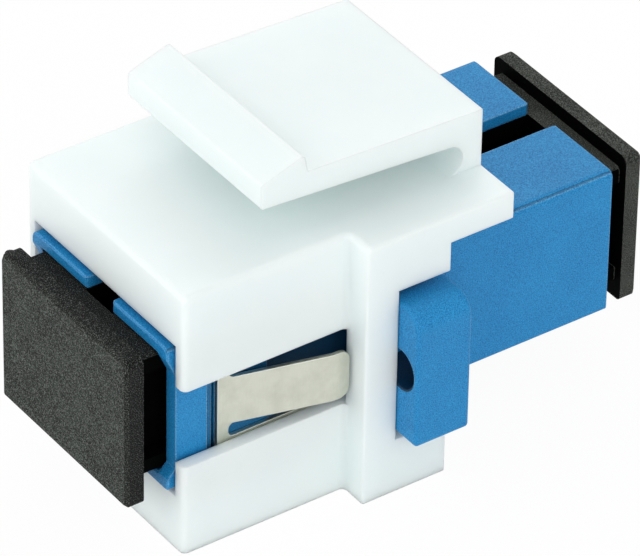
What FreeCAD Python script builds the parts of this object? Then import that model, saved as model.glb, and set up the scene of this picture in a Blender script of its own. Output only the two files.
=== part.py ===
"""SC simplex fibre adapter in a white keystone insert, with a dust cap in each port.

Frame, in millimetres: X across, Y along the fibre with the panel face towards -Y, Z up.
The origin is on the underside, below the plane where the two halves of the adapter meet.
"""
import FreeCAD
import Part

import math
import os

V = FreeCAD.Vector

PAST = 1.0                 # how far a cut runs on past the face that it opens

# ---- adapter shells: two moulded halves, joined face to face at Y = 0 ----
SHELL_WIDTH = 12.85
SHELL_HEIGHT = 9.2
SHELL_LENGTH = 14.37       # one half, from the joint to its port face
SHELL_EDGE = 0.45          # rounding of the long edges on top
SHELL_FOOT_EDGE = 0.2      # and of those underneath
SHELL_RIM = 0.08           # bevel round the port face
SIDE_WALL = 0.87
TOP_WALL = 0.7
PORT_CORNER = 0.25
PORT_LEAD_IN = 0.1
KEYWAY_WIDTH = 2.4
KEYWAY_ROUND = 0.25
KEYWAY_STOP = 2.6          # from the joint to the blind end of the keyway
SIDE_CUT_DEPTH = 0.52      # the front half's side walls stop short by this much
SIDE_CUT_SLOPE = 1.15      # height of the sloped ends of that cut

# ---- adapter flange, half on each shell ----
FLANGE_SPAN = 21.8
FLANGE_HEIGHT = 8.55
FLANGE_DROP = 0.13         # the flange's middle lies this far below the fibre axis
FLANGE_FRONT = 1.62        # thickness on the front shell
FLANGE_REAR = 1.88         # thickness on the rear shell
FLANGE_CORNER = 1.2
FLANGE_FOOT_CORNER = 0.25
FLANGE_EDGE = 0.24
SCREW_INSET = 1.5          # from the flange's end to the middle of its screw hole
SCREW_HOLE_RADIUS = 1.2

# ---- sleeve and hook inserts inside the shells ----
SLEEVE_BORE_RADIUS = 1.25
SLEEVE_WALL = 0.35
SLEEVE_LENGTH = 11.4
SLEEVE_SLIT = 0.4
SLEEVE_FIT = 0.05          # radial and end clearance of the sleeve in its holder
HOLDER_WALL = 0.65
HOLDER_LIP = 0.45
HOLDER_MOUTH_RADIUS = 1.45
INSERT_PLATE = 1.15
INSERT_BORDER = 0.3        # the plate reaches this far past the port on each side
INSERT_FIT = 0.04
HOOK_THICKNESS = 0.75
HOOK_HEIGHT = 3.0
HOOK_REACH = 8.4           # from the joint to the hook tips
HOOK_NOSE = 0.8
HOOK_NOSE_LENGTH = 1.5
HOOK_NOSE_BACK = 0.16      # lean of the nose's rear face, so a connector can be pulled out
HOOK_WALL_GAP = 0.22       # room behind the hooks to spread

# ---- spring clip: one folded sheet, up both sides of the front shell ----
CLIP_SHEET = 0.25
CLIP_RECESS = 0.15         # depth of its seat in the shell
CLIP_FIT = 0.03
CLIP_SEAT_START = 2.5      # from the port face to the step of the seat
CLIP_STEP_GAP = 0.56
CLIP_GROOVE_WIDTH = 0.2    # groove in the seat, right ahead of the clip
CLIP_GROOVE_DEPTH = 0.45
SEAT_LINE_WIDTH = 0.12     # fine groove at the step of the seat
SEAT_LINE_DEPTH = 0.25
CLIP_FLANGE_GAP = 0.2
CLIP_TOP_MARGIN = 0.7      # the sides stop this far below the shell's top
CLIP_BEND = 0.3
TONGUE_HEIGHT = 3.0
TONGUE_SLOT = 0.85
TONGUE_ROOT = 0.7          # solid band ahead of the tongue's slots
TONGUE_ANGLE = 14.5
TONGUE_BEND = 1.5
TONGUE_ROOT_TAIL = 0.4     # flat stub of the side sheet that the tongue grows from
TONGUE_TIP_LENGTH = 0.75
TONGUE_TIP_GAP = 0.2
TONGUE_TIP_ROUND = 0.6
TONGUE_ROOT_ROUND = 0.36    # front ends of the slots beside the tongue
POCKET_DEPTH = 0.5         # room in the shell's side walls for the tongues to be pressed in
POCKET_START = 2.6         # from the tongue's root to the front of the pocket
WINDOW_REACH = 1.3         # the windows run on behind the collar's face by this much

# ---- keystone housing: one moulding with its flexing latch ----
HOUSING_SIDE_FIT = 0.225
HOUSING_HEIGHT_FIT = 0.3
HOUSING_SIDE_WALL = 0.75
HOUSING_FLOOR = 3.45
HOUSING_ROOF = 3.45
HOUSING_EDGE = 0.35
COLLAR_EDGE = 0.15
SHELL_PROUD = 0.35         # the adapter stands this far out of the panel face
COLLAR_STEP = 1.75
COLLAR_WEB = 2.05
COLLAR_FIT = 0.05
FLANGE_PROUD = 0.2         # the adapter's flange stands out of the collar's rear by this much
COLLAR_INNER_ROUND = 0.35
ROOF_PLATE = 1.65
ROOF_OVERHANG = 4.0
SLOT_HEIGHT = 4.95
SLOT_DROP = 0.17           # the slot's middle lies this far below the fibre axis
SLOT_REACH = 1.3           # inside the body's width the slots run into the collar by this much
LATCH_WIDTH = 12.34
LATCH_GAP = 1.8
LATCH_ROOT_LENGTH = 1.2
LATCH_REAR_INSET = 0.05
LATCH_ROOT_THICKNESS = 1.75
LATCH_TIP_THICKNESS = 1.5
LATCH_LENGTH = 12.85       # from the root block to the free end
LATCH_RISE = 0.85
LATCH_RAMP_LENGTH = 2.4
LATCH_RAMP_RISE = 0.83
LATCH_RIDGE_FLAT = 0.3
LATCH_RIDGE_SLOPE = 0.2
LATCH_ARM_DROP = 0.19
LATCH_EDGE = 0.15
CATCH_WIDTH = 8.0
CATCH_LENGTH = 2.2
CATCH_DEPTH = 1.2
CATCH_SETBACK = 1.6        # from the collar to the recess that hooks on the panel

# ---- dust caps, one moulding each ----
CAP_WIDTH = 12.0
CAP_HEIGHT = 9.5
CAP_THICKNESS = 1.1
CAP_CORNER = 0.5
CAP_FOOT_CORNER = 0.3
CAP_EDGE = 0.2
FRONT_CAP_DROP = 0.4       # the plates hang this far below the fibre axis
REAR_CAP_DROP = 0.06
CAP_STANDOFF = 1.18
PLUG_SIDE_FIT = 0.1
PLUG_TOP_FIT = 0.075
PLUG_WALL = 1.0            # the plug's top and bottom walls
PLUG_SIDE_WALL = 0.85
PLUG_HOLLOW_WIDTH = 7.2    # between the side walls, which stand in from the ends of the top wall
PLUG_KEY_WIDTH = 2.6       # slot in the top wall, under the port's keyway
PLUG_CORNER = 0.3
PLUG_LEAD_IN = 0.25
PLUG_HOOK_GAP = 0.7

# ---- worked out from the sizes above ----
AXIS = HOUSING_FLOOR + HOUSING_HEIGHT_FIT + SHELL_HEIGHT / 2
PORT_WIDTH = SHELL_WIDTH - 2 * SIDE_WALL
PORT_HEIGHT = SHELL_HEIGHT - 2 * TOP_WALL
SEAT_DEPTH = INSERT_PLATE + INSERT_FIT
PLUG_DEPTH = SHELL_LENGTH - HOOK_REACH - PLUG_HOOK_GAP
SLEEVE_RADIUS = SLEEVE_BORE_RADIUS + SLEEVE_WALL
HOLDER_BORE = SLEEVE_RADIUS + SLEEVE_FIT
HOLDER_LENGTH = SLEEVE_LENGTH / 2 + SLEEVE_FIT + HOLDER_LIP
HOUSING_FRONT = SHELL_PROUD - SHELL_LENGTH
OPENING_WIDTH = SHELL_WIDTH + 2 * HOUSING_SIDE_FIT
OPENING_HEIGHT = SHELL_HEIGHT + 2 * HOUSING_HEIGHT_FIT
BODY_WIDTH = OPENING_WIDTH + 2 * HOUSING_SIDE_WALL
BODY_HEIGHT = HOUSING_FLOOR + OPENING_HEIGHT + HOUSING_ROOF
COLLAR_WIDTH = BODY_WIDTH + 2 * COLLAR_STEP
BAY_FRONT = -FLANGE_FRONT - COLLAR_FIT
COLLAR_FRONT = BAY_FRONT - COLLAR_WEB
COLLAR_REAR = FLANGE_REAR - FLANGE_PROUD
ROOF_REAR = COLLAR_REAR + ROOF_OVERHANG
CLIP_SEAT_FRONT = CLIP_SEAT_START - SHELL_LENGTH
CLIP_FRONT = CLIP_SEAT_FRONT + CLIP_STEP_GAP
CLIP_REAR = -FLANGE_FRONT - CLIP_FLANGE_GAP
CLIP_INNER_WIDTH = SHELL_WIDTH - 2 * CLIP_RECESS + 2 * CLIP_FIT
CLIP_INNER_FLOOR = AXIS - SHELL_HEIGHT / 2 + CLIP_RECESS - CLIP_FIT
CLIP_TOP = AXIS + SHELL_HEIGHT / 2 - CLIP_TOP_MARGIN


def block(width, y_from, y_to, z_from, z_to):
    """A box centred on X = 0."""
    corner = V(-width / 2, y_from, z_from)
    return Part.makeBox(width, y_to - y_from, z_to - z_from, corner)


def edges_where(shape, test):
    """The edges of a shape whose middle point passes a test."""
    chosen = []
    for edge in shape.Edges:
        middle = edge.valueAt((edge.FirstParameter + edge.LastParameter) / 2)
        if test(middle, edge):
            chosen.append(edge)
    return chosen


def near(value, target):
    """True when two lengths agree."""
    return abs(value - target) < 1e-4


def along(edge, axis):
    """True for a straight edge that runs along X, Y or Z (0, 1 or 2)."""
    box = edge.BoundBox
    sizes = (box.XLength, box.YLength, box.ZLength)
    return all(size > 1e-3 if i == axis else size < 1e-3 for i, size in enumerate(sizes))


def rounded_bar(width, height, corner, y_from, y_to, middle=AXIS, foot_corner=None):
    """A bar along Y with a rounded section; its lower corners may have a radius of their own."""
    bar = block(width, y_from, y_to, middle - height / 2, middle + height / 2)
    if foot_corner is None:
        foot_corner = corner
    bar = bar.makeFillet(corner, edges_where(bar, lambda p, e: along(e, 1) and p.z > middle))
    return bar.makeFillet(foot_corner, edges_where(bar, lambda p, e: along(e, 1) and p.z < middle))


def prism(points, direction):
    """A solid made by pushing a closed outline along a vector."""
    outline = Part.makePolygon(points + [points[0]])
    return Part.Face(outline).extrude(direction)


def rod(radius, y_from, y_to, x=0.0, z=AXIS):
    """A round bar along Y."""
    return Part.makeCylinder(radius, y_to - y_from, V(x, y_from, z), V(0, 1, 0))


def turned(shape):
    """The shape turned half round the Z axis, to face the other port."""
    copy = shape.copy()
    copy.rotate(V(0, 0, 0), V(0, 0, 1), 180)
    return copy


def flange_half(thickness):
    """One half of the adapter's flange, with its two screw holes, ahead of Y = 0."""
    plate = rounded_bar(FLANGE_SPAN, FLANGE_HEIGHT, FLANGE_CORNER, -thickness, 0,
                        AXIS - FLANGE_DROP, FLANGE_FOOT_CORNER)
    plate = plate.makeFillet(FLANGE_EDGE, edges_where(plate, lambda p, e: near(p.y, -thickness)))
    for side in (-1, 1):
        hole = rod(SCREW_HOLE_RADIUS, -thickness - PAST, PAST, side * (FLANGE_SPAN / 2 - SCREW_INSET))
        plate = plate.cut(hole)
    return plate


def keyway():
    """The slot in the top wall that takes the connector's key, with a flared mouth."""
    half = KEYWAY_WIDTH / 2
    mouth = -SHELL_LENGTH
    flare = KEYWAY_ROUND
    top = AXIS + SHELL_HEIGHT / 2 + PAST
    low = AXIS + PORT_HEIGHT / 2 - PORT_CORNER
    steps = [(half, -KEYWAY_STOP), (half, mouth + flare)]
    for turn in (30, 60, 90):
        angle = math.radians(turn)
        steps.append((half + flare * (1 - math.cos(angle)), mouth + flare * (1 - math.sin(angle))))
    right = steps + [(half + flare, mouth - PAST)]
    left = [(-x, y) for x, y in reversed(right)]
    outline = [V(x, y, low) for x, y in right + left]
    return prism(outline, V(0, 0, top - low))


def side_cut():
    """The step back of both side walls at the front port face."""
    face = -SHELL_LENGTH
    deep = face + SIDE_CUT_DEPTH
    high = AXIS + PORT_HEIGHT / 2
    low = AXIS - PORT_HEIGHT / 2
    points = [(face - PAST, high), (face, high), (deep, high - SIDE_CUT_SLOPE),
              (deep, low + SIDE_CUT_SLOPE / 2), (face, low), (face - PAST, low)]
    wide = SHELL_WIDTH
    return prism([V(-wide, y, z) for y, z in points], V(2 * wide, 0, 0))


def half_shell(flange_thickness):
    """One half of the adapter body: a rounded tube with its half of the flange."""
    shell = rounded_bar(SHELL_WIDTH, SHELL_HEIGHT, SHELL_EDGE, -SHELL_LENGTH, 0, AXIS, SHELL_FOOT_EDGE)
    shell = shell.makeChamfer(SHELL_RIM, edges_where(shell, lambda p, e: near(p.y, -SHELL_LENGTH)))
    shell = shell.fuse(flange_half(flange_thickness)).removeSplitter()
    port = rounded_bar(PORT_WIDTH, PORT_HEIGHT, PORT_CORNER, -SHELL_LENGTH, 0)
    mouth_wide = PORT_WIDTH + 2 * PORT_LEAD_IN
    mouth_high = PORT_HEIGHT + 2 * PORT_LEAD_IN
    mouth_end = PORT_LEAD_IN - SHELL_LENGTH
    mouth = rounded_bar(mouth_wide, mouth_high, PORT_CORNER, -SHELL_LENGTH - PORT_LEAD_IN, mouth_end)
    mouth = mouth.makeChamfer(PORT_LEAD_IN, edges_where(mouth, lambda p, e: near(p.y, mouth_end)))
    seat = block(PORT_WIDTH + 2 * INSERT_BORDER, -SEAT_DEPTH, 0,
                 AXIS - PORT_HEIGHT / 2 - INSERT_BORDER, AXIS + PORT_HEIGHT / 2 + INSERT_BORDER)
    return shell.cut([port, mouth, seat, keyway()])


def clip_seat():
    """The shallow seat of the spring clip, round the sides and floor of the front shell."""
    outer = block(2 * SHELL_WIDTH, CLIP_SEAT_FRONT, -FLANGE_FRONT, 0, CLIP_TOP + CLIP_FIT)
    kept = rounded_bar(SHELL_WIDTH - 2 * CLIP_RECESS, SHELL_HEIGHT - 2 * CLIP_RECESS, CLIP_BEND,
                       CLIP_SEAT_FRONT, -FLANGE_FRONT)
    return outer.cut(kept)


def seat_groove(front, width, depth):
    """A groove across both sides of the clip's seat, cut a given depth below the seat."""
    core = SHELL_WIDTH - 2 * (CLIP_RECESS + depth)
    outer = block(2 * SHELL_WIDTH, front, front + width, AXIS - SHELL_HEIGHT / 2 + TOP_WALL, CLIP_TOP)
    return outer.cut(block(core, front, front + width, 0, CLIP_TOP))


def tongue_pocket():
    """The pockets in the side walls that the tongues are pressed into."""
    front = CLIP_FRONT + TONGUE_ROOT + POCKET_START
    middle = AXIS - SLOT_DROP
    half = TONGUE_HEIGHT / 2 + TONGUE_SLOT
    width = SHELL_WIDTH - 2 * (CLIP_RECESS + POCKET_DEPTH)
    outer = block(2 * SHELL_WIDTH, front, COLLAR_FRONT + WINDOW_REACH, middle - half, middle + half)
    return outer.cut(block(width, front, COLLAR_FRONT + WINDOW_REACH, 0, CLIP_TOP))


def adapter_front_shell():
    """The half inside the housing: cut back at its side walls, with the clip's seat."""
    step_line = seat_groove(CLIP_SEAT_FRONT, SEAT_LINE_WIDTH, SEAT_LINE_DEPTH)
    gap = seat_groove(CLIP_FRONT - CLIP_GROOVE_WIDTH, CLIP_GROOVE_WIDTH, CLIP_GROOVE_DEPTH)
    return half_shell(FLANGE_FRONT).cut([side_cut(), clip_seat(), step_line, gap, tongue_pocket()])


def adapter_rear_shell():
    """The half behind the panel, turned to face +Y with its keyway on top as well."""
    return turned(half_shell(FLANGE_REAR))


def holder_tube():
    """The tube that holds half of the alignment sleeve, with a lip at its mouth."""
    outer = rod(HOLDER_BORE + HOLDER_WALL, -HOLDER_LENGTH, 0)
    outer = outer.makeChamfer(HOLDER_LIP / 2, edges_where(outer, lambda p, e: near(p.y, -HOLDER_LENGTH)))
    return outer


def hook(side):
    """One latch hook: a flat arm with a nose that points at the fibre axis."""
    back = PORT_WIDTH / 2 - HOOK_WALL_GAP
    face = back - HOOK_THICKNESS
    tip = -HOOK_REACH
    nose = face - HOOK_NOSE
    catch = tip + HOOK_NOSE_LENGTH
    points = [(back, 0), (back, tip), (face, tip), (nose, tip + HOOK_NOSE), (nose, catch),
              (face, catch + HOOK_NOSE_BACK), (face, 0)]
    outline = [V(side * x, y, AXIS - HOOK_HEIGHT / 2) for x, y in points]
    return prism(outline, V(0, 0, HOOK_HEIGHT))


def hook_insert():
    """One insert: a plate with the sleeve's holder and two hooks, facing -Y."""
    plate_wide = PORT_WIDTH + 2 * (INSERT_BORDER - INSERT_FIT)
    plate_high = PORT_HEIGHT + 2 * (INSERT_BORDER - INSERT_FIT)
    plate = block(plate_wide, -INSERT_PLATE, 0, AXIS - plate_high / 2, AXIS + plate_high / 2)
    insert = plate.fuse([holder_tube(), hook(-1), hook(1)]).removeSplitter()
    bore = rod(HOLDER_BORE, HOLDER_LIP - HOLDER_LENGTH, PAST)
    mouth = rod(HOLDER_MOUTH_RADIUS, -HOLDER_LENGTH - PAST, 0)
    return insert.cut([bore, mouth])


def alignment_sleeve():
    """The split ceramic sleeve that lines up the two ferrules."""
    half = SLEEVE_LENGTH / 2
    tube = rod(SLEEVE_RADIUS, -half, half).cut(rod(SLEEVE_BORE_RADIUS, -half, half))
    slit = block(SLEEVE_SLIT, -half, half, AXIS, AXIS + 2 * SLEEVE_RADIUS)
    return tube.cut(slit)


def spun(point, centre, degrees):
    """A point of the XY plane turned about a centre."""
    offset = V(point.x - centre.x, point.y - centre.y, 0)
    c, s = math.cos(math.radians(degrees)), math.sin(math.radians(degrees))
    return V(centre.x + offset.x * c - offset.y * s, centre.y + offset.x * s + offset.y * c, 0)


def line(start, end):
    """A straight edge."""
    return Part.LineSegment(start, end).toShape()


def bend(start, centre, degrees):
    """An arc that turns about a centre."""
    return Part.Arc(start, spun(start, centre, degrees / 2), spun(start, centre, degrees)).toShape()


def bent_strip(start, heading, steps, thickness):
    """The outline of a bent sheet seen edge on, as a face in the XY plane.

    The walk starts on the near side; each step is ("line", length) or ("bend", radius, degrees),
    where a positive bend turns left and the radius is the one on the inside of the bend.
    The sheet lies to the right of the walk.
    """
    here = V(start[0], start[1], 0)
    edges = []
    first_far = None
    for step in steps:
        ahead = V(math.cos(math.radians(heading)), math.sin(math.radians(heading)), 0)
        right = V(ahead.y, -ahead.x, 0)
        far = here + right * thickness
        first_far = first_far or far
        if step[0] == "line":
            edges += [line(here, here + ahead * step[1]), line(far, far + ahead * step[1])]
            here = here + ahead * step[1]
            continue
        radius, degrees = step[1:]
        centre = here - right * radius if degrees > 0 else far + right * radius
        edges += [bend(here, centre, degrees), bend(far, centre, degrees)]
        here = spun(here, centre, degrees)
        heading += degrees
    edges.append(line(V(start[0], start[1], 0), first_far))
    edges.append(line(here, edges[-2].valueAt(edges[-2].LastParameter)))
    return Part.Face(Part.Wire(Part.sortEdges(edges)[0]))


def clip_channel():
    """The clip's U: up one side of the shell, under its floor and up the other side."""
    half = CLIP_INNER_WIDTH / 2
    rise = CLIP_TOP - CLIP_INNER_FLOOR - CLIP_BEND
    steps = [("line", rise), ("bend", CLIP_BEND, 90), ("line", 2 * (half - CLIP_BEND)),
             ("bend", CLIP_BEND, 90), ("line", rise)]
    profile = bent_strip((-half, CLIP_TOP), -90, steps, CLIP_SHEET)
    profile.rotate(V(0, 0, 0), V(1, 0, 0), 90)
    profile.translate(V(0, CLIP_REAR, 0))
    return profile.extrude(V(0, CLIP_FRONT - CLIP_REAR, 0))


def clip_window():
    """The opening round both tongues, with a rounded front end above and below each root."""
    front = CLIP_FRONT + TONGUE_ROOT
    middle = AXIS - SLOT_DROP
    half = TONGUE_HEIGHT / 2 + TONGUE_SLOT
    window = block(2 * SHELL_WIDTH, front, COLLAR_FRONT + WINDOW_REACH, middle - half, middle + half)
    keep = block(2 * SHELL_WIDTH, front - PAST, front + TONGUE_ROOT_TAIL,
                 middle - TONGUE_HEIGHT / 2, middle + TONGUE_HEIGHT / 2)
    window = window.cut(keep)
    ends = edges_where(window, lambda p, e: along(e, 0) and near(p.y, front))
    return window.makeFillet(TONGUE_ROOT_ROUND, ends)


def clip_tongue(side):
    """One tongue: it leaves the clip's side, slopes outward and turns back at its tip."""
    start = CLIP_FRONT + TONGUE_ROOT - CLIP_SHEET
    stop = COLLAR_FRONT - TONGUE_TIP_GAP
    angle = math.radians(TONGUE_ANGLE)
    first_bend = (TONGUE_BEND + CLIP_SHEET) * math.sin(angle)
    last_bend = TONGUE_BEND * math.sin(angle)
    run = stop - start - CLIP_SHEET - first_bend - last_bend - TONGUE_TIP_LENGTH
    straight = run / math.cos(angle)
    steps = [("line", CLIP_SHEET), ("bend", TONGUE_BEND, -TONGUE_ANGLE), ("line", straight),
             ("bend", TONGUE_BEND, TONGUE_ANGLE), ("line", TONGUE_TIP_LENGTH)]
    profile = bent_strip((CLIP_INNER_WIDTH / 2, start), 90, steps, CLIP_SHEET)
    profile.translate(V(0, 0, AXIS - SLOT_DROP - TONGUE_HEIGHT / 2))
    tongue = profile.extrude(V(0, 0, TONGUE_HEIGHT))
    ends = edges_where(tongue, lambda p, e: near(p.y, stop) and along(e, 0))
    tongue = tongue.makeFillet(TONGUE_TIP_ROUND, ends)
    if side < 0:
        tongue = tongue.mirror(V(0, 0, 0), V(1, 0, 0))
    return tongue


def spring_clip():
    """The folded steel clip with both tongues."""
    clip = clip_channel().cut(clip_window())
    return clip.fuse([clip_tongue(-1), clip_tongue(1)]).removeSplitter()


def on_front_body(p, e):
    """True for the edges of the front face above the floor, and the long ones of the body's top."""
    if near(p.y, HOUSING_FRONT):
        return not near(p.z, 0)
    return along(e, 1) and near(p.z, BODY_HEIGHT) and near(abs(p.x), BODY_WIDTH / 2)


def on_collar(p, e):
    """True for the upright outer edges of the collar and roof plate, and their top edges."""
    if along(e, 2):
        return near(abs(p.x), COLLAR_WIDTH / 2)
    outer = near(abs(p.x), COLLAR_WIDTH / 2) or near(p.y, ROOF_REAR)
    return near(p.z, BODY_HEIGHT) and outer


def housing_block():
    """The housing before its openings are cut: front body, collar and roof plate."""
    body = block(BODY_WIDTH, HOUSING_FRONT, COLLAR_FRONT, 0, BODY_HEIGHT)
    collar = block(COLLAR_WIDTH, COLLAR_FRONT, COLLAR_REAR, 0, BODY_HEIGHT)
    roof = block(COLLAR_WIDTH, COLLAR_REAR, ROOF_REAR, BODY_HEIGHT - ROOF_PLATE, BODY_HEIGHT)
    solid = body.fuse([collar, roof]).removeSplitter()
    solid = solid.makeFillet(COLLAR_INNER_ROUND, edges_where(
        solid, lambda p, e: along(e, 2) and near(abs(p.x), BODY_WIDTH / 2) and near(p.y, COLLAR_FRONT)))
    solid = solid.makeFillet(HOUSING_EDGE, edges_where(solid, on_front_body))
    return solid.makeFillet(COLLAR_EDGE, edges_where(solid, on_collar))


def latch():
    """The flexing latch: a root block on the roof plate and an arm that runs forward."""
    rear = ROOF_REAR - LATCH_REAR_INSET
    root = rear - LATCH_ROOT_LENGTH
    free = root - LATCH_LENGTH
    floor = BODY_HEIGHT
    under_root = floor + LATCH_GAP
    under_free = under_root + LATCH_RISE
    slope = LATCH_RISE / LATCH_LENGTH
    end_round = LATCH_GAP / 2
    ramp_top = free + LATCH_RAMP_LENGTH
    ridge = under_free + LATCH_TIP_THICKNESS + LATCH_RAMP_RISE
    arm_start = ramp_top + LATCH_RIDGE_FLAT + LATCH_RIDGE_SLOPE
    arm_high = under_free + LATCH_TIP_THICKNESS - LATCH_ARM_DROP
    arc_start = V(0, root - end_round, under_root + slope * end_round)
    arc_end = V(0, root - end_round, floor)
    sunk = floor - ROOF_PLATE / 2
    outline = [arc_end, V(0, root, floor), V(0, root, sunk), V(0, rear, sunk),
               V(0, rear, under_root + LATCH_ROOT_THICKNESS), V(0, arm_start, arm_high),
               V(0, ramp_top + LATCH_RIDGE_FLAT, ridge), V(0, ramp_top, ridge),
               V(0, free, under_free + LATCH_TIP_THICKNESS), V(0, free, under_free), arc_start]
    edges = [Part.LineSegment(a, b).toShape() for a, b in zip(outline, outline[1:])]
    middle = V(0, root, (arc_start.z + arc_end.z) / 2)
    edges.append(Part.Arc(arc_start, middle, arc_end).toShape())
    face = Part.Face(Part.Wire(edges))
    face.translate(V(-LATCH_WIDTH / 2, 0, 0))
    arm = face.extrude(V(LATCH_WIDTH, 0, 0))

    def soft(p, e):
        on_top = along(e, 0) and p.z > under_root and p.y < root - LATCH_GAP
        return on_top and not near(p.y, arm_start)

    return arm.makeFillet(LATCH_EDGE, edges_where(arm, soft))


def catch_recess():
    """The recess in the underside that hooks on the lower edge of a panel's window."""
    rear = COLLAR_FRONT - CATCH_SETBACK
    front = rear - CATCH_LENGTH
    points = [(rear, -PAST), (rear, CATCH_DEPTH), (front + CATCH_DEPTH, CATCH_DEPTH), (front, 0), (front, -PAST)]
    return prism([V(-CATCH_WIDTH / 2, y, z) for y, z in points], V(CATCH_WIDTH, 0, 0))


def keystone_housing():
    """The white housing: opening for the adapter, side slots for the clip, bay for its ears."""
    low = HOUSING_FLOOR
    high = HOUSING_FLOOR + OPENING_HEIGHT
    opening = block(OPENING_WIDTH, HOUSING_FRONT - PAST, BAY_FRONT, low, high)
    bay = block(2 * COLLAR_WIDTH, BAY_FRONT, COLLAR_REAR + PAST, low, high)
    middle = AXIS - SLOT_DROP
    slot = block(2 * COLLAR_WIDTH, HOUSING_FRONT - PAST, COLLAR_FRONT,
                 middle - SLOT_HEIGHT / 2, middle + SLOT_HEIGHT / 2)
    slot_end = block(BODY_WIDTH, COLLAR_FRONT - PAST, COLLAR_FRONT + SLOT_REACH,
                     middle - SLOT_HEIGHT / 2, middle + SLOT_HEIGHT / 2)
    # the slots open the front body only, so the collar is kept out of them
    solid = housing_block().cut(slot)
    solid = solid.fuse(latch()).removeSplitter()
    return solid.cut([opening, bay, slot_end, catch_recess()])


def cap_plug(inner, tip):
    """The plug: a top and a bottom wall joined by two side walls, with a key slot on top."""
    wide = PORT_WIDTH - 2 * PLUG_SIDE_FIT
    high = PORT_HEIGHT - 2 * PLUG_TOP_FIT
    plug = rounded_bar(wide, high, PLUG_CORNER, inner, tip)
    plug = plug.makeChamfer(PLUG_LEAD_IN, edges_where(plug, lambda p, e: near(p.y, tip)))
    low = AXIS - high / 2 + PLUG_WALL
    top = AXIS + high / 2 - PLUG_WALL
    middle = block(PLUG_HOLLOW_WIDTH + 2 * PLUG_SIDE_WALL, inner, tip, low, top)
    sides = block(2 * PORT_WIDTH, inner, tip, low, top).cut(middle)
    hollow = block(PLUG_HOLLOW_WIDTH, inner, tip, low, top)
    key_slot = block(PLUG_KEY_WIDTH, -SHELL_LENGTH, tip, AXIS, AXIS + PORT_HEIGHT)
    return plug.cut([sides, hollow, key_slot])


def dust_cap(drop):
    """One cap, facing -Y: a plate set low by a drop, and a hollow plug that grips in the port."""
    inner = -SHELL_LENGTH - CAP_STANDOFF
    outer = inner - CAP_THICKNESS
    plate = rounded_bar(CAP_WIDTH, CAP_HEIGHT, CAP_CORNER, outer, inner, AXIS - drop, CAP_FOOT_CORNER)
    plate = plate.makeChamfer(CAP_EDGE, edges_where(plate, lambda p, e: near(p.y, outer)))
    return plate.fuse(cap_plug(inner, PLUG_DEPTH - SHELL_LENGTH)).removeSplitter()


def main():
    """Build every piece and write one STEP file for each."""
    pieces = {
        "keystone_housing": keystone_housing(),
        "adapter_front_shell": adapter_front_shell(),
        "adapter_rear_shell": adapter_rear_shell(),
        "front_hook_insert": hook_insert(),
        "rear_hook_insert": turned(hook_insert()),
        "alignment_sleeve": alignment_sleeve(),
        "spring_clip": spring_clip(),
        "front_dust_cap": dust_cap(FRONT_CAP_DROP),
        "rear_dust_cap": turned(dust_cap(REAR_CAP_DROP)),
    }
    os.makedirs("parts", exist_ok=True)
    for name, shape in pieces.items():
        box = shape.BoundBox
        print(f"{name:20s} solids {len(shape.Solids)} valid {shape.isValid()} {shape.Volume:7.1f} mm3 "
              f"x {box.XMin:.2f}..{box.XMax:.2f} y {box.YMin:.2f}..{box.YMax:.2f} "
              f"z {box.ZMin:.2f}..{box.ZMax:.2f}")
        shape.exportStep(f"parts/{name}.step")


main()
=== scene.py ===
"""SC fibre adapter in a white keystone insert, with a black dust cap in each port.

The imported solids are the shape. This file dresses each of them in the plastic, steel or ceramic
that the real piece is made of, and sets up the camera and a plain white studio. The frame is the
solids' own: X across, Y along the fibre, Z up, origin on the underside. Lengths are in metres,
and in millimetres where a name ends in mm or a comment says so.
"""
import logging
import math
from dataclasses import dataclass, field, replace
from enum import Enum

import bmesh
import bpy
from mathutils import Matrix, Vector


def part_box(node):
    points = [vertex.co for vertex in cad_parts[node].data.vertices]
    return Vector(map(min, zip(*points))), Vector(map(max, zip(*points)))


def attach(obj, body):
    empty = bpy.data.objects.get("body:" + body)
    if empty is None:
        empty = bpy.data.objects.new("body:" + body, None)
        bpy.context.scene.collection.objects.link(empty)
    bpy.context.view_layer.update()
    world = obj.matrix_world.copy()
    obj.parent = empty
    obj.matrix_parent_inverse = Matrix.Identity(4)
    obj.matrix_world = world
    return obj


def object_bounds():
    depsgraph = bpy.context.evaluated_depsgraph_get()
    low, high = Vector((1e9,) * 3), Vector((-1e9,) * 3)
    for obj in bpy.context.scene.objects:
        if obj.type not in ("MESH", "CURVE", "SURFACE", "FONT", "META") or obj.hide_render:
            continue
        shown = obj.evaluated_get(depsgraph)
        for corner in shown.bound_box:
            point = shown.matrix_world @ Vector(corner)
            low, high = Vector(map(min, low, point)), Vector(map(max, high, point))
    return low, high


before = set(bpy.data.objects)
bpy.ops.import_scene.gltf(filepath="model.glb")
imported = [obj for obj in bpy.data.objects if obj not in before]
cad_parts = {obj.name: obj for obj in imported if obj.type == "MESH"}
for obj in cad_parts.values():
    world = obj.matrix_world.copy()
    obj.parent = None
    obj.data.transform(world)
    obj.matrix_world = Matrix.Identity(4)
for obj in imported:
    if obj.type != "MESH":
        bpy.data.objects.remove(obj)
CAD_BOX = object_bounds()

LOG = logging.getLogger("adapter")
MM = 0.001
WHITE = (1.0, 1.0, 1.0, 1.0)

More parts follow.
